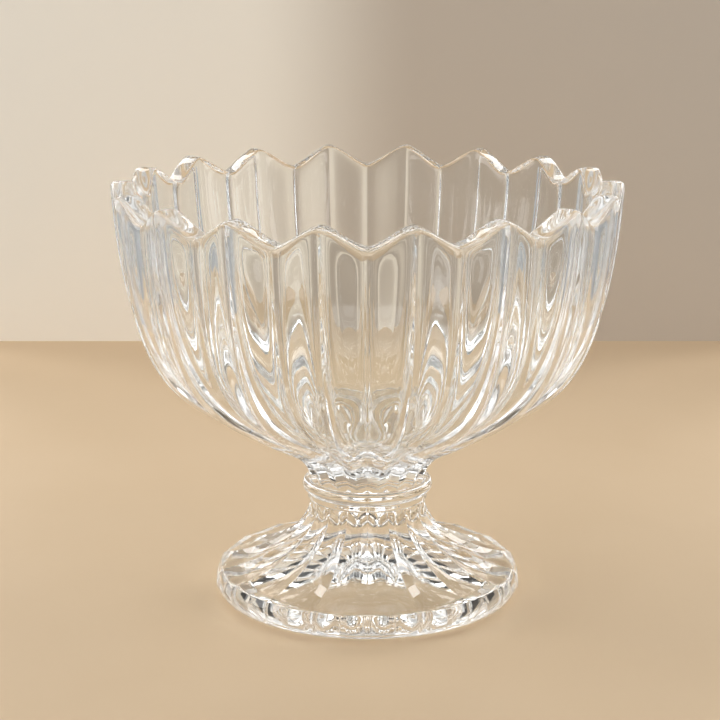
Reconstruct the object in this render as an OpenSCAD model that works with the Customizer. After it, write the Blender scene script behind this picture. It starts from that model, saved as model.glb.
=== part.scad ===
// Footed ice cream bowl of clear pressed glass.
// A pleated bowl with a wavy rim and a pleated, hollow foot are pressed apart,
// then joined hot by a round collar of glass between them.
// The foot stands on z = 0 and the axis of the bowl is the z axis.

/* [Bowl] */
// Diameter over the ridges at the rim
rim_d = 120; // [100:1:140]
// Height to the tops of the rim's waves
total_h = 100; // [90:1:120]
// Wall thickness at the rim
rim_wall = 6; // [4:0.5:8]
// Radius that rounds both edges of the rim
rim_round = 1.6; // [0.6:0.1:2.2]
// How far the rim's valleys lie below its waves
rim_wave = 4.8; // [0:0.2:8]
// Depth of the outer grooves at the rim
groove = 2.2; // [0.4:0.1:3]
// Depth of the lining's waves at the rim
lining_wave = 1.8; // [0:0.1:2.4]
// Thickness of glass between the collar and the bowl's floor
floor_t = 13; // [11:0.5:18]
// Diameter of the flat floor inside
floor_d = 33; // [16:1:36]

/* [Pleats] */
// Number of pleats round the bowl and round the foot
pleats = 18; // [12:1:24]
// Roundness of the folds, as a share of half a pleat
fold_round = 0.12; // [0.02:0.02:0.6]

/* [Collar] */
// Diameter of the waist, where the bowl's neck meets the collar
waist_d = 28; // [24:0.2:32]
// Thickness of the collar's bead, which stands out from the waist by half of it
bead_h = 3.2; // [2:0.1:5]
// How far the collar's lower step stands out from the waist
step_proud = 0.4; // [0.1:0.1:1]
// Height of the collar's lower step
step_h = 1.6; // [0.8:0.1:3]

/* [Foot] */
// Diameter over the widest part of the foot's edge
foot_d = 73.8; // [64:0.2:84]
// Height of the foot, up to the collar
foot_h = 23.6; // [20:0.2:28]
// Height of the foot's edge, up to the corner where its top starts
edge_h = 6.8; // [5:0.2:8]
// Height of the widest part of that edge
edge_mid_h = 3.4; // [2:0.2:4.6]
// How far the edge's upper corner lies inside its widest part
edge_taper = 1.3; // [0.4:0.1:2.5]
// How far the standing ring lies inside the widest part
stand_inset = 2.9; // [1:0.1:4]
// Width of the flat ring that the foot stands on
stand_w = 5; // [3:0.5:8]
// Height of the shallow dome hollowed out of the underside
hollow_h = 7; // [3:0.5:10]
// How far the top of the stem lies inside the collar's lower step
stem_inset = 0.7; // [0.2:0.1:2]
// Depth of the flutes on the stem
stem_flute = 1.4; // [0.2:0.1:1.6]
// Depth of the flutes where the foot's top meets its edge
flare_flute = 0.4; // [0.1:0.1:1.2]
// Depth of the folds on the foot's edge
edge_fold = 0.5; // [0.1:0.1:1.2]

/* [Bowl curves] */
// How far the neck flares out before the belly starts
flare_reach = 12; // [8:0.5:16]
// How far the neck climbs before the belly starts
flare_climb = 10.8; // [8:0.2:14]
// How far the neck keeps straight up from the collar
neck_pull = 6; // [2:0.5:9]
// Slope of the belly where it starts, in degrees
belly_slope = 29; // [20:1:40]
// How far the neck's flare follows that slope
flare_pull = 7; // [3:0.5:10]
// How far the belly follows that slope
belly_pull = 26; // [18:1:32]
// Outward lean of the wall at the rim, in degrees
wall_lean = 4; // [0:0.5:8]
// How far the wall follows that lean
wall_pull = 44; // [30:1:50]
// Outward lean of the lining at the rim, in degrees
lining_lean = 2; // [0:0.5:5]
// How far the lining follows that lean
lining_pull = 41; // [30:1:46]
// Slope of the lining where it leaves the floor, in degrees
floor_slope = 26; // [5:1:32]
// How far the lining follows that slope
floor_pull = 21; // [12:1:24]

/* [Foot curves] */
// How far the stem keeps straight down from the collar
stem_pull = 8; // [3:0.5:10]
// Slope of the foot's top where it meets the edge, in degrees
foot_slope = 7; // [3:1:20]
// How far the foot's top follows that slope
foot_pull = 12; // [6:0.5:14]
// Length of stem over which its flutes run out under the collar
stem_runout = 4.5; // [1:0.5:5]

/* [Hidden] */
glass_colour = [0.86, 0.93, 0.92, 0.45];

// Facets across one pleat, and stations along each curve of a meridian.
pleat_cols = 6;
neck_rows = 5;
belly_rows = 11;
lining_rows = 11;
dome_rows = 5;
edge_rows = 4;
flare_rows = 9;

// Heights where the three pieces meet.
collar_z = foot_h;
bead_z = collar_z + step_h;
neck_z = bead_z + bead_h;
floor_z = neck_z + floor_t;

cols = pleats * pleat_cols;
rim_r = rim_d / 2;
lining_r = rim_r - rim_wall;
floor_r = floor_d / 2;
waist_r = waist_d / 2;
step_r = waist_r + step_proud;
stem_r = step_r - stem_inset;
foot_r = foot_d / 2;
edge_top_r = foot_r - edge_taper;
stand_r = foot_r - stand_inset;
dome_r = stand_r - stand_w;
// The rounding of the rim leaves a level strip between its two edges.
rim_strip = 0.4;
edge_round = min(rim_round, (rim_wall - max(0, groove - lining_wave) - rim_strip) / 2);
// The outer grooves grow from nothing at the collar by this power of the way out to the rim.
groove_gain = 0.6;
// The foot's flutes fade from the stem's depth to the flare's by this power of the way out.
flute_fade = 2;
// The rim's wave dies away down the wall by this power of the way along its curve.
wave_fade = 4;

// Curves in the plane of a meridian, where a point is [radius, height].
function mix(a, b, t) = (1 - t) * a + t * b;
function quadratic(a, b, c, t) = mix(mix(a, b, t), mix(b, c, t), t);
function bezier(p, t) = mix(quadratic(p[0], p[1], p[2], t), quadratic(p[1], p[2], p[3], t), t);
function heading(p, t) = quadratic(p[1] - p[0], p[2] - p[1], p[3] - p[2], t);
function along(angle) = [cos(angle), sin(angle)];
function right_of(v) = [v[1], -v[0]] / norm(v);

// A pleat goes from 0 on its ridge, where u = 0, to 1 in the groove, where u = 1.
// It is folded on the bowl's outside and the foot's edge, waved on the lining,
// and fluted with sharp ridges on the foot's top.
function softened(u) = (norm([u, fold_round]) - fold_round) / (norm([1, fold_round]) - fold_round);
folded = function(u) mix(softened(u), 1 - softened(1 - u), u);
waved = function(u) (1 - cos(180 * u)) / 2;
fluted = function(u) sin(90 * u);
function across(col) = 1 - abs(1 - 2 * (col % pleat_cols) / pleat_cols);

// A station of a meridian is [point, outward normal, groove depth, share of the rim's wave, pleat].
function station(p, normal, depth, wave = 0, pleat = folded) = [p, normal, depth, wave, pleat];

function skin_point(s, col, turn) =
    let (
        pleat = s[4],
        sunk = pleat(across(col)),
        p = s[0] - s[1] * s[2] * sunk,
        z = p[1] - rim_wave * s[3] * sunk,
        a = 360 * col / cols + turn
    ) [p[0] * cos(a), p[0] * sin(a), z];

// Closed pleated skin over the stations of a meridian that starts and ends on the axis.
module pleated_skin(start_z, stations, end_z, turn = 0) {
    rows = len(stations);
    last = rows * cols + 1;
    points = concat(
        [[0, 0, start_z]],
        [for (s = stations) for (col = [0 : cols - 1]) skin_point(s, col, turn)],
        [[0, 0, end_z]]
    );
    function at(row, col) = 1 + row * cols + col % cols;
    // The diagonals of the four-sided cells mirror each other over every ridge.
    function cell(row, col) =
        across(col + 1) > across(col)
            ? [[at(row, col), at(row + 1, col), at(row + 1, col + 1)],
               [at(row, col), at(row + 1, col + 1), at(row, col + 1)]]
            : [[at(row, col), at(row + 1, col), at(row, col + 1)],
               [at(row + 1, col), at(row + 1, col + 1), at(row, col + 1)]];
    faces = concat(
        [for (col = [0 : cols - 1]) [0, at(0, col), at(0, col + 1)]],
        [for (row = [0 : rows - 2]) for (col = [0 : cols - 1]) each cell(row, col)],
        [for (col = [0 : cols - 1]) [last, at(rows - 1, col + 1), at(rows - 1, col)]]
    );
    polyhedron(points, faces, convexity = 8);
}

// Stations along one curve. The groove depth depends on the point, the rim's wave on the way along.
function curve_stations(p, rows, depth_of, wave_of = function(t) 0, first = 0, pleat = folded) =
    [for (i = [first : rows])
        let (t = i / rows, q = bezier(p, t))
        station(q, right_of(heading(p, t)), depth_of(q), wave_of(t), pleat)];

// Pressed bowl: solid neck, flaring belly, upright pleated wall, rounded wavy rim and waved lining.
module bowl() {
    neck_end = [waist_r + flare_reach, neck_z + flare_climb];
    neck_curve = [
        [waist_r, neck_z],
        [waist_r, neck_z + neck_pull],
        neck_end - flare_pull * along(belly_slope),
        neck_end
    ];
    wall_top = [rim_r, total_h - edge_round];
    belly_curve = [
        neck_end,
        neck_end + belly_pull * along(belly_slope),
        wall_top - wall_pull * along(90 - wall_lean),
        wall_top
    ];
    lining_top = [lining_r, total_h - edge_round];
    lining_end = [floor_r, floor_z];
    lining_curve = [
        lining_top,
        lining_top - lining_pull * along(90 - lining_lean),
        lining_end + floor_pull * along(floor_slope),
        lining_end
    ];
    groove_depth = function(q) groove * pow(max(0, q[0] - waist_r) / (rim_r - waist_r), groove_gain);
    // The lining's waves swell inwards behind the outer grooves, so their depth counts the other way.
    wave_depth = function(q) -lining_wave * max(0, q[0] - floor_r) / (lining_r - floor_r);
    outer_edge = [rim_r - edge_round, total_h - edge_round];
    inner_edge = [lining_r + edge_round, total_h - edge_round];
    stations = concat(
        curve_stations(neck_curve, neck_rows, groove_depth),
        curve_stations(belly_curve, belly_rows, groove_depth, function(t) pow(t, wave_fade), 1),
        [for (a = [45, 90]) station(outer_edge + edge_round * along(a), [1, 0], groove, 1)],
        [for (a = [90, 135]) station(inner_edge + edge_round * along(a), [1, 0], lining_wave, 1, waved)],
        curve_stations(lining_curve, lining_rows, wave_depth, function(t) pow(1 - t, wave_fade), 0, waved)
    );
    color(glass_colour)
        pleated_skin(neck_z, stations, floor_z);
}

// Collar of glass that joins the bowl to the foot: a round bead over a small step.
module collar() {
    bead_r = bead_h / 2;
    color(glass_colour)
        rotate_extrude($fn = 96)
            union() {
                translate([0, collar_z])
                    square([step_r, step_h]);
                translate([0, bead_z])
                    square([waist_r, bead_h]);
                translate([waist_r, bead_z + bead_r])
                    intersection() {
                        circle(r = bead_r, $fn = 48);
                        translate([0, -bead_r])
                            square([bead_r, bead_h]);
                    }
            }
}

// Pressed foot: fluted stem and flare, folded edge, flat standing ring and shallow dome underneath.
module foot() {
    dome_sphere_r = (dome_r * dome_r + hollow_h * hollow_h) / (2 * hollow_h);
    dome_sweep = asin(dome_r / dome_sphere_r);
    dome_stations = [for (i = [1 : dome_rows])
        let (a = 90 - dome_sweep * i / dome_rows)
        station([0, hollow_h - dome_sphere_r] + dome_sphere_r * along(a), [0, -1], 0)];
    // The edge rolls out from the standing ring to its widest part, while the folds deepen from nothing.
    roll_stations = [for (i = [0 : edge_rows - 1])
        let (share = i / edge_rows, a = 90 * (share - 1))
        station([stand_r + stand_inset * cos(a), edge_mid_h * (1 + sin(a))], along(a), edge_fold * share)];
    // From there an arc leans in to the corner where the top starts.
    lean_h = edge_h - edge_mid_h;
    lean_sweep = 2 * atan2(edge_taper, lean_h);
    lean_r = lean_h / sin(lean_sweep);
    lean_stations = [for (i = [0 : edge_rows - 1])
        let (share = i / edge_rows, a = lean_sweep * share, depth = mix(edge_fold, flare_flute, share))
        station([foot_r - lean_r, edge_mid_h] + lean_r * along(a), along(a), depth)];
    flare_start = [edge_top_r, edge_h];
    flare_curve = [
        flare_start,
        flare_start + foot_pull * along(180 - foot_slope),
        [stem_r, foot_h - stem_pull],
        [stem_r, foot_h]
    ];
    runout = function(z) min(1, (foot_h - z) / stem_runout);
    flare_depth = function(q)
        let (out = max(0, q[0] - stem_r) / (edge_top_r - stem_r))
        runout(q[1]) * mix(stem_flute, flare_flute, pow(out, flute_fade));
    stations = concat(
        dome_stations,
        roll_stations,
        lean_stations,
        curve_stations(flare_curve, flare_rows, flare_depth, pleat = fluted)
    );
    // The foot's ridges stand under the bowl's grooves.
    half_pleat = 180 / pleats;
    color(glass_colour)
        pleated_skin(hollow_h, stations, foot_h, half_pleat);
}

bowl();
collar();
foot();
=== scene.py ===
import math

import bmesh
import bpy
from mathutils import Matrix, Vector
from mathutils.geometry import interpolate_bezier


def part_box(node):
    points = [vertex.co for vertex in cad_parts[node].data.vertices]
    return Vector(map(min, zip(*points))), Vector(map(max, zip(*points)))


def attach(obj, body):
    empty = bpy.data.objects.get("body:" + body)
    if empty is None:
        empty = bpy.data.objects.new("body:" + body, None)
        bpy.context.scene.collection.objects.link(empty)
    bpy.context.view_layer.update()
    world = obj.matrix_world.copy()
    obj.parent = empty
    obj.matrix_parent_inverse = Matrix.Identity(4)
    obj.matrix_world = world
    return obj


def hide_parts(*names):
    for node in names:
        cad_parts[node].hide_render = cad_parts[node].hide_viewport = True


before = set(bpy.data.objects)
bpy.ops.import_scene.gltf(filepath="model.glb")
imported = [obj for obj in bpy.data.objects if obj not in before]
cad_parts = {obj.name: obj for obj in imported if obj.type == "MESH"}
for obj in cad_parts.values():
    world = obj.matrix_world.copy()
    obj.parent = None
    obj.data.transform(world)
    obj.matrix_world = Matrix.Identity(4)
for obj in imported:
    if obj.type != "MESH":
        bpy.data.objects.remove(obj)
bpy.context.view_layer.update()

# Bowl: the cup for the ice cream, of clear soda-lime glass. It is pressed in one stroke between a mould
# with 18 folds and a plunger with soft waves, and its rim is then fire-polished until both edges are round.
# Its short solid neck is welded to the collar.

# Lengths are in metres and angles in degrees. A curve's leave and arrive are the lengths of its two handles.
bowl_low, bowl_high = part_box("bowl")
rim_radius = bowl_high.x
rim_height = bowl_high.z
rim_wall = 0.006
rim_rounding = 0.0015
lining_rounding = 0.0009
rim_wave = 0.0048
rim_wave_fade = 4
fold_depth = 0.0023
fold_gain = 0.6
neck_share = 0.25
bead_start = 0.55
lining_depth = 0.0018
neck_radius = 0.014
neck_height = bowl_low.z
neck_edge = Vector((0.0001, 0.0009))
neck_leave = 0.006
neck_arrive = 0.007
belly_radius = 0.026
belly_rise = 0.0108
belly_slope = 29
belly_leave = 0.026
belly_arrive = 0.044
wall_lean = 86
lining_lean = 88
lining_leave = 0.041
lining_arrive = 0.021
floor_radius = 0.0165
floor_rise = 0.013
floor_height = neck_height + floor_rise
floor_slope = 26
neck_rings = 4
belly_rings = 11
lining_rings = 11
outer_rim_angles = (45, 90)
inner_rim_angles = (90, 135, 180)
floor_shares = (0.7, 0.35)

# A pleat runs from ridge to ridge in columns. A shape says how far each column up to the groove lies
# between the ridge, at 0, and the groove, at 1.
pleats = 18
columns_to_groove = 10
half_column = 0.5
columns = 2 * columns_to_groove * pleats
kept_columns = (0, 1, 4, 6, 9, 10)
folded = [step / columns_to_groove for step in range(columns_to_groove + 1)]
waved = [(1 - math.cos(math.pi * share)) / 2 for share in folded]
scallop_wave = 0.65
scalloped = [fold + scallop_wave * (wave - fold) for fold, wave in zip(folded, waved)]
bead_rise = 0.38
panel_fall = (1 - 2 * bead_rise) / (columns_to_groove - 2)
beaded = [0] + [bead_rise + panel_fall * step for step in range(columns_to_groove - 1)] + [1]
fold_crease = 0.32
sharp_crease = 1.0
weld_distance = 0.00001
smooth_angle = math.radians(50)
subdivisions = 2


def along(degrees):
    """A step of one metre in the plane of a meridian, where x is the radius and y the height."""
    return Vector((math.cos(math.radians(degrees)), math.sin(math.radians(degrees))))


def bend(start, leave, arrive, end, rings):
    """Points from start to end along a curve that leaves and arrives by these two handles, without start."""
    return interpolate_bezier(start, start + leave, end + arrive, end, rings + 1)[1:]


def normals(points):
    """The direction to the right of each point's way, square to it."""
    ways = [after - before for before, after in zip(points, points[1:])]
    ways = [ways[0]] + [(a + b) / 2 for a, b in zip(ways, ways[1:])] + [ways[-1]]
    return [Vector((way.y, -way.x)).normalized() for way in ways]


def select_where(piece, kind, chosen):
    """Selects the vertices or edges of a piece in edit mode that are chosen, and nothing else."""
    bpy.ops.mesh.select_mode(type=kind)
    mesh = bmesh.from_edit_mesh(piece.data)
    for element in mesh.verts if kind == "VERT" else mesh.edges:
        element.select = chosen(element)
    mesh.select_flush_mode()
    bmesh.update_edit_mesh(piece.data, loop_triangles=False, destructive=False)


def turn_of(vertex):
    """How far round the axis a vertex lies from the +X side, in columns."""
    return math.atan2(vertex.co.y, vertex.co.x) / math.tau * columns


def steps_from_ridge(vertex, ridge_turn):
    """How many columns lie between a vertex and the nearest ridge."""
    turn = round(turn_of(vertex) - ridge_turn) % (2 * columns_to_groove)
    return min(turn, 2 * columns_to_groove - turn)


def start_pleat(name, radius, height, ridge_turn=0):
    """A new piece in edit mode, which is as yet an arc: the first ring of one pleat, from ridge to ridge."""
    bpy.ops.object.select_all(action="DESELECT")
    bpy.ops.mesh.primitive_circle_add(vertices=columns, radius=radius, location=(0, 0, height))
    bpy.ops.object.transform_apply(location=True)
    piece = bpy.context.object
    piece.name = name
    piece.data.name = name
    bpy.ops.object.mode_set(mode="EDIT")
    first_turn = ridge_turn - half_column
    last_turn = ridge_turn + 2 * columns_to_groove + half_column
    select_where(piece, "VERT", lambda vertex: not first_turn < turn_of(vertex) < last_turn)
    bpy.ops.mesh.delete(type="VERT")
    select_where(piece, "VERT", lambda vertex: steps_from_ridge(vertex, ridge_turn) not in kept_columns)
    bpy.ops.mesh.dissolve_verts()
    bpy.ops.mesh.select_all(action="SELECT")
    return piece


def draw_ring(piece, ridge, groove, shape, ridge_turn=0, rise=None):
    """Extrudes the pleat by one ring, whose columns lie between ridge and groove as the shape says.

    Their heights follow the rise instead, where one is given.
    """
    heights = rise or shape
    bpy.ops.mesh.extrude_region_move()
    mesh = bmesh.from_edit_mesh(piece.data)
    mesh.verts.index_update()
    new_ring = [vertex for vertex in mesh.verts if vertex.select]
    steps_of = {vertex.index: steps_from_ridge(vertex, ridge_turn) for vertex in new_ring}
    old_places = {steps_of[vertex.index]: (vertex.co.xy.length, vertex.co.z) for vertex in new_ring}
    for steps, (old_radius, old_height) in old_places.items():
        place = Vector((ridge.lerp(groove, shape[steps]).x, ridge.lerp(groove, heights[steps]).y))
        growth = place.x / old_radius
        select_where(piece, "VERT", lambda vertex: steps_of.get(vertex.index) == steps)
        bpy.ops.transform.resize(value=(growth, growth, 1), center_override=(0, 0, 0))
        bpy.ops.transform.translate(value=(0, 0, place.y - old_height))
    select_where(piece, "VERT", lambda vertex: vertex.index in steps_of)


def crease_folds(piece, sharp_columns, ridge_turn=0):
    """Sharpens the folds of a pleat in these columns, where they look outwards."""

    def on_fold(edge):
        first, second = edge.verts
        lengthwise = abs(turn_of(first) - turn_of(second)) < half_column
        middle = first.co + second.co
        outside = sum(face.normal.xy.dot(middle.xy) for face in edge.link_faces) > 0
        return lengthwise and outside and steps_from_ridge(first, ridge_turn) in sharp_columns

    bpy.ops.mesh.select_all(action="SELECT")
    bpy.ops.mesh.normals_make_consistent(inside=False)
    select_where(piece, "EDGE", on_fold)
    bpy.ops.transform.edge_crease(value=fold_crease)


def spin_pleats(piece):
    """Copies the pleat round the axis, welds the copies, and closes the two ends."""
    bpy.ops.mesh.select_all(action="SELECT")
    turned = math.tau * (pleats - 1) / pleats
    bpy.ops.mesh.spin(steps=pleats - 1, dupli=True, angle=turned, center=(0, 0, 0), axis=(0, 0, 1))
    bpy.ops.mesh.select_all(action="SELECT")
    bpy.ops.mesh.remove_doubles(threshold=weld_distance)
    select_where(piece, "EDGE", lambda edge: edge.is_boundary)
    bpy.ops.mesh.edge_face_add()
    bpy.ops.mesh.select_all(action="SELECT")
    bpy.ops.mesh.normals_make_consistent(inside=False)


def finish_glass(piece, node, joint_heights):
    """Gives a piece its glass, with clear air on its flat joint faces, and rounds it by subdivision."""

    def on_joint(co):
        return any(abs(co.z - height) < weld_distance for height in joint_heights)

    def on_joint_edge(edge):
        sides = [on_joint(face.calc_center_median()) for face in edge.link_faces]
        return any(sides) and not all(sides)

    select_where(piece, "EDGE", on_joint_edge)
    bpy.ops.transform.edge_crease(value=sharp_crease)
    bpy.ops.object.mode_set(mode="OBJECT")
    piece.data.materials.append(clear_glass)
    piece.data.materials.append(fused_joint)
    for face in piece.data.polygons:
        face.material_index = int(on_joint(face.center))
    rounding = piece.modifiers.new("rounding", "SUBSURF")
    rounding.levels = subdivisions
    rounding.render_levels = subdivisions
    rounding.use_limit_surface = False
    bpy.ops.object.modifier_apply(modifier=rounding.name)
    bpy.ops.object.shade_smooth_by_angle(angle=smooth_angle)
    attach(piece, "root")
    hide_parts(node)


class Wire:
    """An output of a shader node. Sums and products of wires and numbers add Math nodes to the same tree."""

    def __init__(self, output):
        self.output = output
        self.tree = output.id_data

    @classmethod
    def node(cls, tree, kind, settings, inputs, output=0):
        """Adds a node: its settings come first, and then the values or links of its sockets."""
        made = tree.nodes.new(kind)
        for name, value in settings.items():
            setattr(made, name, value)
        for name, value in inputs.items():
            if isinstance(value, Wire):
                tree.links.new(value.output, made.inputs[name])
            else:
                made.inputs[name].default_value = value
        return cls(made.outputs[output]) if made.outputs else None

    def calculate(self, operation, first, second):
        return Wire.node(self.tree, "ShaderNodeMath", {"operation": operation}, {0: first, 1: second})

    def __add__(self, other):
        return self.calculate("ADD", self, other)

    def __radd__(self, other):
        return self.calculate("ADD", other, self)

    def __mul__(self, other):
        return self.calculate("MULTIPLY", self, other)

    def __rmul__(self, other):
        return self.calculate("MULTIPLY", other, self)


def new_material(name):
    """A material with an empty node tree."""
    material = bpy.data.materials.new(name)
    material.use_nodes = True
    material.node_tree.nodes.clear()
    return material, material.node_tree


def noise(tree, scale, detail):
    """Noise that is fixed to the piece, of this many lumps to a metre."""
    place = Wire.node(tree, "ShaderNodeTexCoord", {}, {}, "Object")
    return Wire.node(tree, "ShaderNodeTexNoise", {}, {"Vector": place, "Scale": scale, "Detail": detail})


def blend_colours(tree, factor, first, second):
    """A colour between two others. The Mix node's sockets for colours go by number."""
    sockets = {"Factor": factor, 6: first, 7: second}
    return Wire.node(tree, "ShaderNodeMix", {"data_type": "RGBA"}, sockets, 2)


# The glass is clear with a breath of green in its depth. Pressing leaves its skin faintly wavy,
# and the fire polish is a little less even in some places than in others.
flow_scale = 55
flow_detail = 1.0
ripple_scale = 330
ripple_detail = 2.0
ripple_share = 0.06
wave_height = 0.00004
polish_range = 0.012
palest_glass = (0.985, 0.992, 0.99, 1)
deepest_glass = (0.955, 0.975, 0.968, 1)
glass_index = 1.5

clear_glass, tree = new_material("clear_glass")
flow = noise(tree, flow_scale, flow_detail)
ripple = noise(tree, ripple_scale, ripple_detail)
waves = flow + ripple_share * ripple
tint = blend_colours(tree, flow, palest_glass, deepest_glass)
skin = Wire.node(tree, "ShaderNodeBump", {}, {"Strength": 1.0, "Distance": wave_height, "Height": waves})
glass = Wire.node(
    tree,
    "ShaderNodeBsdfPrincipled",
    {},
    {
        "Base Color": tint,
        "Roughness": polish_range * ripple,
        "IOR": glass_index,
        "Transmission Weight": 1.0,
        "Normal": skin,
    },
)
Wire.node(tree, "ShaderNodeOutputMaterial", {}, {"Surface": glass})

# Where two pieces were welded hot the glass runs on without a face, so the faces there are clear air.
fused_joint, tree = new_material("fused_joint")
nothing = Wire.node(tree, "ShaderNodeBsdfTransparent", {}, {})
Wire.node(tree, "ShaderNodeOutputMaterial", {}, {"Surface": nothing})

wall_top = Vector((rim_radius, rim_height - rim_rounding))
lining_top = Vector((rim_radius - rim_wall, rim_height - lining_rounding))
floor_edge = Vector((floor_radius, floor_height))
neck_foot = Vector((neck_radius, neck_height))
belly_start = Vector((belly_radius, neck_height + belly_rise))
up_belly = along(belly_slope)
neck_points = bend(neck_foot, neck_leave * along(90), -neck_arrive * up_belly, belly_start, neck_rings)
up_wall = along(wall_lean)
belly_points = bend(belly_start, belly_leave * up_belly, -belly_arrive * up_wall, wall_top, belly_rings)
down_lining = -lining_leave * along(lining_lean)
up_floor = lining_arrive * along(floor_slope)
lining_points = bend(lining_top, down_lining, up_floor, floor_edge, lining_rings)

bowl = start_pleat("glass_bowl", neck_radius, neck_height)
outside = [neck_foot + neck_edge] + neck_points + belly_points
for index, (ridge, normal) in enumerate(zip(outside, normals(outside))):
    climb = max(0, index - neck_rings) / belly_rings
    out = (ridge.x - neck_radius) / (rim_radius - neck_radius)
    depth = fold_depth * (neck_share + (1 - neck_share) * out ** fold_gain)
    groove = ridge - depth * normal - Vector((0, rim_wave * climb ** rim_wave_fade))
    beads = min(1, climb / bead_start)
    wall_shape = [fold + beads * (bead - fold) for fold, bead in zip(folded, beaded)]
    draw_ring(bowl, ridge, groove, wall_shape, rise=scalloped)
for edge, side, rounding, depth, angles, shape in (
    (wall_top, -1, rim_rounding, fold_depth, outer_rim_angles, scalloped),
    (lining_top, 1, lining_rounding, lining_depth, inner_rim_angles, waved),
):
    for angle in angles:
        ridge = edge + Vector((side * rounding, 0)) + rounding * along(angle)
        draw_ring(bowl, ridge, ridge - Vector((depth, rim_wave)), shape)
for index, (ridge, normal) in enumerate(zip(lining_points, normals(lining_points))):
    descent = (index + 1) / lining_rings
    depth = lining_depth * (ridge.x - floor_radius) / (lining_top.x - floor_radius)
    groove = ridge + depth * normal - Vector((0, rim_wave * (1 - descent) ** rim_wave_fade))
    draw_ring(bowl, ridge, groove, waved)
for share in floor_shares:
    ridge = Vector((share * floor_radius, floor_height))
    draw_ring(bowl, ridge, ridge, waved)
crease_folds(bowl, (0, columns_to_groove))
spin_pleats(bowl)
finish_glass(bowl, "bowl", [neck_height])

# Collar: the ring of glass at the waist that welds the bowl to its foot, a round bead over a small step.
# It is dropped on hot and turned round with a tool, so it has no pleats.
collar_low, collar_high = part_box("collar")
bead_radius = 0.0016
bead_centre = Vector((collar_high.x - bead_radius, collar_high.z - bead_radius))
step_radius = 0.0144
step_height = bead_centre.y - bead_radius
step_edge = 0.0002
stem_radius = 0.0137
bead_angles = (-60, -35, -10, 15, 40, 65, 90)
round_shape = [0] * (columns_to_groove + 1)

collar = start_pleat("glass_collar", stem_radius, collar_low.z)
profile = [
    Vector((step_radius - step_edge, collar_low.z)),
    Vector((step_radius, collar_low.z + step_edge)),
    Vector((step_radius, step_height - step_edge)),
    Vector((step_radius, step_height)),
]
profile += [bead_centre + bead_radius * along(angle) for angle in bead_angles]
for point in profile:
    draw_ring(collar, point, point, round_shape)
spin_pleats(collar)
finish_glass(collar, "collar", [collar_low.z, collar_high.z])

# Foot: the pedestal that the bowl stands on, pressed in 18 flutes with sharp ridges under the bowl's grooves.
# Its edge is a folded band that rolls under to a flat ring, and a shallow dome is hollowed out beneath.
foot_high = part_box("foot")[1]
edge_radius = foot_high.y
stem_top = Vector((stem_radius, foot_high.z))
stem_runout = 0.0045
stem_depth = 0.0014
flare_depth = 0.0004
flute_fade = 2
flare_leave = 0.008
flare_arrive = 0.012
flare_slope = 173
flare_rings = 12
edge_depth = 0.0005
edge_lean = 0.0013
edge_height = 0.0068
edge_top = Vector((edge_radius - edge_lean, edge_height))
edge_widest = Vector((edge_radius, edge_height / 2))
lean_shares = (0.85, 0.6, 0.3, 0)
roll_width = 0.0029
roll_shares = (0.3, 0.6, 0.85, 1)
stand_radius = edge_radius - roll_width
stand_width = 0.005
stand_rounding = 0.0008
dome_radius = stand_radius - stand_width
dome_height = 0.007
dome_shares = (1, 0.94, 0.75, 0.5, 0.25, 0.1)
foot_turn = columns_to_groove
fluted = [math.sin(math.pi / 2 * share) for share in folded]

foot = start_pleat("glass_foot", stem_radius, foot_high.z, foot_turn)
down_stem = -flare_leave * along(90)
up_flare = flare_arrive * along(flare_slope)
flare_points = bend(stem_top, down_stem, up_flare, edge_top, flare_rings)
for ridge, normal in zip(flare_points, normals(flare_points)):
    out = (ridge.x - stem_radius) / (edge_top.x - stem_radius)
    runout = min(1, (foot_high.z - ridge.y) / stem_runout)
    depth = runout * (stem_depth + out ** flute_fade * (flare_depth - stem_depth))
    draw_ring(foot, ridge, ridge + depth * normal, fluted, foot_turn)
lean_height = edge_top.y - edge_widest.y
lean_sweep = 2 * math.degrees(math.atan2(edge_widest.x - edge_top.x, lean_height))
lean_radius = lean_height / math.sin(math.radians(lean_sweep))
lean_centre = edge_widest - Vector((lean_radius, 0))
for share in lean_shares:
    out = along(lean_sweep * share)
    ridge = lean_centre + lean_radius * out
    sunk = flare_depth * (ridge.y - edge_widest.y) / lean_height
    draw_ring(foot, ridge, ridge - Vector((edge_depth, sunk)), beaded, foot_turn)
roll = Vector((edge_widest.x - stand_radius, edge_widest.y))
for share in roll_shares:
    out = along(-90 * share)
    ridge = Vector((stand_radius + roll.x * out.x, roll.y * (1 + out.y)))
    draw_ring(foot, ridge, ridge - (1 - share) * edge_depth * out, beaded, foot_turn)
dome_ball = (dome_radius ** 2 + dome_height ** 2) / (2 * dome_height)
dome_sweep = math.degrees(math.asin(dome_radius / dome_ball))
dome_centre = Vector((0, dome_height - dome_ball))
underside = [Vector((stand_radius - stand_rounding, 0)), Vector((dome_radius + stand_rounding, 0))]
underside += [dome_centre + dome_ball * along(90 - dome_sweep * share) for share in dome_shares]
for point in underside:
    draw_ring(foot, point, point, round_shape, foot_turn)
crease_folds(foot, (0,), foot_turn)
spin_pleats(foot)
finish_glass(foot, "foot", [foot_high.z])

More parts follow.
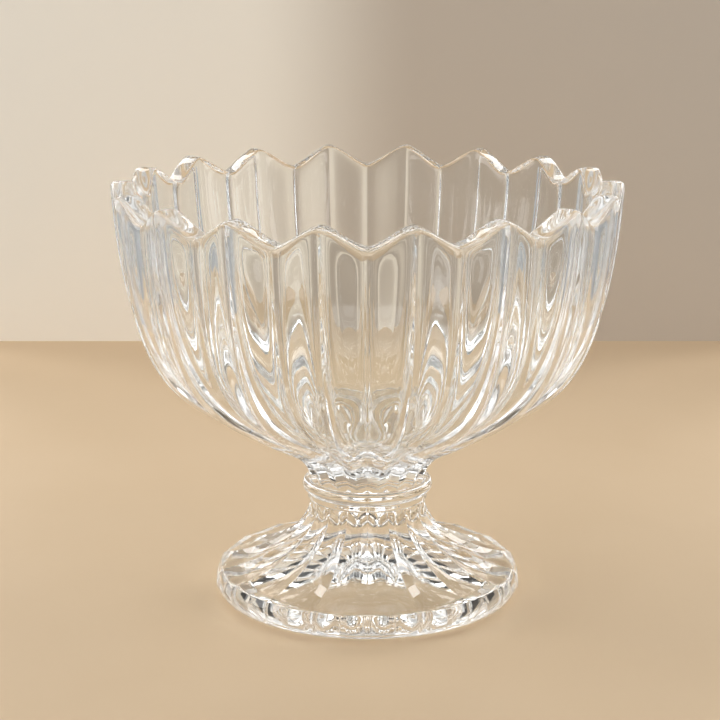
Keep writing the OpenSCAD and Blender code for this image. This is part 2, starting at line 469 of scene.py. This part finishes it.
# Floor and backdrop: a pale tabletop on a neutral floor, and a paper backdrop behind it, which falls off
# into shade on the right so that the pleats show against it.
floor_drop = 0.0003
floor_half_width = 0.9
floor_depth = 0.002
table_half_width = 0.16
table_front = 0.13
wall_distance = 0.25
wall_half_width = 0.16
wall_rise = 0.15
floor_colour = (0.36, 0.36, 0.36, 1)
worn_floor = (0.34, 0.34, 0.34, 1)
table_colour = (0.66, 0.50, 0.33, 1)
worn_table = (0.63, 0.47, 0.30, 1)
lit_wall = (0.96, 0.89, 0.77, 1)
shaded_wall = (0.58, 0.50, 0.41, 1)
shade_start = -0.14
shade_end = 0.06
cloud_scale = 9
cloud_detail = 3.0
paint_roughness = 0.6
paint_gloss = 0.2


def mottling(tree):
    """Faint clouds."""
    return noise(tree, cloud_scale, cloud_detail)


def smooth_step(tree, value, start, end, low, high):
    """Goes softly from low to high while the value goes from start to end."""
    sockets = {"Value": value, "From Min": start, "From Max": end, "To Min": low, "To Max": high}
    return Wire.node(tree, "ShaderNodeMapRange", {"interpolation_type": "SMOOTHSTEP"}, sockets)


def shade(tree):
    """A soft shade that comes in from the left of a plane to its right, in shares of its width."""
    place = Wire.node(tree, "ShaderNodeTexCoord", {}, {}, "Object")
    across = Wire.node(tree, "ShaderNodeSeparateXYZ", {}, {"Vector": place}, "X")
    return smooth_step(tree, across, shade_start, shade_end, 0, 1)


def matt(name, first, second, spread):
    """A matt paint on the face of a plane, which changes from one colour to another as its spread does."""
    material, tree = new_material(name)
    colour = blend_colours(tree, spread(tree), first, second)
    sockets = {"Base Color": colour, "Roughness": paint_roughness, "Specular IOR Level": paint_gloss}
    paint = Wire.node(tree, "ShaderNodeBsdfPrincipled", {}, sockets)
    clear = Wire.node(tree, "ShaderNodeBsdfTransparent", {}, {})
    behind = Wire.node(tree, "ShaderNodeNewGeometry", {}, {}, "Backfacing")
    one_sided = Wire.node(tree, "ShaderNodeMixShader", {}, {"Fac": behind, 1: paint, 2: clear})
    Wire.node(tree, "ShaderNodeOutputMaterial", {}, {"Surface": one_sided})
    return material


bpy.ops.object.select_all(action="DESELECT")
bpy.ops.mesh.primitive_plane_add(size=2 * floor_half_width, location=(0, 0, -floor_depth))
ground = bpy.context.object
ground.name = "stage_floor"
ground.data.materials.append(matt("floor_paint", floor_colour, worn_floor, mottling))
bpy.ops.mesh.primitive_plane_add(size=1, location=(0, (wall_distance - table_front) / 2, -floor_drop))
table = bpy.context.object
table.name = "stage_table"
table.scale = (2 * table_half_width, wall_distance + table_front, 1)
table.data.materials.append(matt("table_paint", table_colour, worn_table, mottling))
wall_place = (0, wall_distance, wall_rise / 2 - floor_drop)
bpy.ops.mesh.primitive_plane_add(size=1, location=wall_place, rotation=(math.pi / 2, 0, 0))
backdrop = bpy.context.object
backdrop.name = "stage_wall"
backdrop.scale = (2 * wall_half_width, wall_rise, 1)
backdrop.data.materials.append(matt("wall_paint", lit_wall, shaded_wall, shade))

# Light: a window-like softbox on the left, a narrower one on the right, one overhead, and thin strips
# behind and in front, which draw the white lines along the pleats. The room itself is dim and neutral.
room_grey = (0.97, 0.98, 1.0, 1)
room_strength = 0.06
front_strength = 0.3
front_full = -0.5
front_gone = 0.15
light_aim = Vector((0, 0, 0.05))
scene = bpy.context.scene
scene.world = bpy.data.worlds.new("room")
scene.world.use_nodes = True
tree = scene.world.node_tree
tree.nodes.clear()
direction = Wire.node(tree, "ShaderNodeTexCoord", {}, {}, "Generated")
back = Wire.node(tree, "ShaderNodeSeparateXYZ", {}, {"Vector": direction}, "Y")
strength = smooth_step(tree, back, front_full, front_gone, front_strength, room_strength)
grey = Wire.node(tree, "ShaderNodeBackground", {}, {"Color": room_grey, "Strength": strength})
Wire.node(tree, "ShaderNodeOutputWorld", {}, {"Surface": grey})
for name, place, size, watts in (
    ("left_window", (-0.8, -0.1, 0.45), (0.5, 0.8), 3.6),
    ("right_window", (0.8, -0.2, 0.4), (0.3, 0.8), 2.5),
    ("overhead", (0, -0.1, 1.0), (0.8, 0.6), 2.2),
    ("back_left_strip", (-0.5, 0.4, 0.35), (0.15, 0.6), 1.3),
    ("back_right_strip", (0.5, 0.4, 0.35), (0.15, 0.6), 1.3),
    ("far_left_strip", (-0.3, 0.55, 0.4), (0.1, 0.6), 0.9),
    ("far_right_strip", (0.3, 0.55, 0.4), (0.1, 0.6), 0.9),
    ("front_left_strip", (-0.55, -0.6, 0.35), (0.08, 0.6), 0.4),
    ("front_right_strip", (0.5, -0.65, 0.35), (0.08, 0.6), 0.4),
):
    bpy.ops.object.light_add(type="AREA", location=place)
    lamp = bpy.context.object
    lamp.name = name
    lamp.data.shape = "RECTANGLE"
    lamp.data.size, lamp.data.size_y = size
    lamp.data.energy = watts
    lamp.visible_camera = False
    lamp.rotation_euler = (light_aim - lamp.location).to_track_quat("-Z", "Y").to_euler()

# Camera: a short telephoto on a tripod, a little above the rim, as the photograph was taken.
# The glass needs many bounces and sharp reflections for its lines to stay clear.
camera_place = (0, -0.480, 0.1805)
camera_pitch = 14.43
camera_lens = 104.5
camera_sensor = 36
camera_shift = -0.0103
light_bounces = 24
bpy.ops.object.camera_add(location=camera_place, rotation=(math.radians(90 - camera_pitch), 0, 0))
camera = bpy.context.object
camera.data.sensor_width = camera_sensor
camera.data.lens = camera_lens
camera.data.shift_x = camera_shift
scene.camera = camera
scene.view_settings.view_transform = "Standard"
scene.cycles.max_bounces = light_bounces
scene.cycles.transmission_bounces = light_bounces
scene.cycles.glossy_bounces = light_bounces
scene.cycles.blur_glossy = 0
